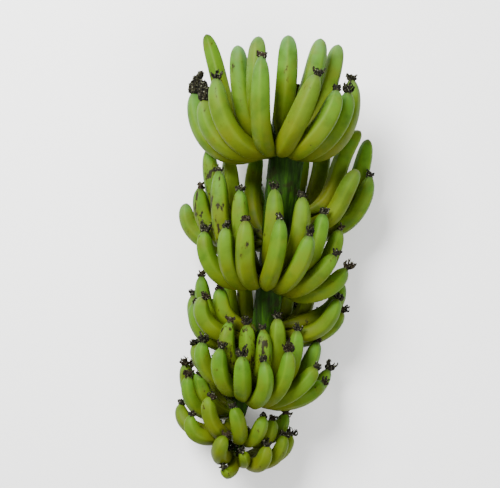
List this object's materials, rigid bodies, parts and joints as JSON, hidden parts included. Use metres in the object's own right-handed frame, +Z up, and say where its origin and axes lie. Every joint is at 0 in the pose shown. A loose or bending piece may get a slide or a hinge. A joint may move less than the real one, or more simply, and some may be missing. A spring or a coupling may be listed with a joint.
{
  "type": "bunch of bananas",
  "caption": "Whole bunch of green bananas on its cut stem, lying on its back with curved fingers in hands that step round the stem.",
  "frame": {"origin": "middle of the bounding box's base, in the plane of the surface the bunch lies on", "axes": "+Z up from the surface, +Y along the stem towards its cut end, +X across the bunch"},
  "size_m": [0.365, 0.7968, 0.3079],
  "materials": {
    "stem": "dull green fibrous skin",
    "peel": "waxy green peel with dark dried flower ends"
  },
  "bodies": {
    "root": {"stem": "stem", "hand_1": "peel", "hand_2": "peel", "hand_3": "peel", "hand_4": "peel", "hand_5": "peel", "hand_6": "peel", "hand_7": "peel", "hand_8": "peel"}
  },
  "joints": []
}
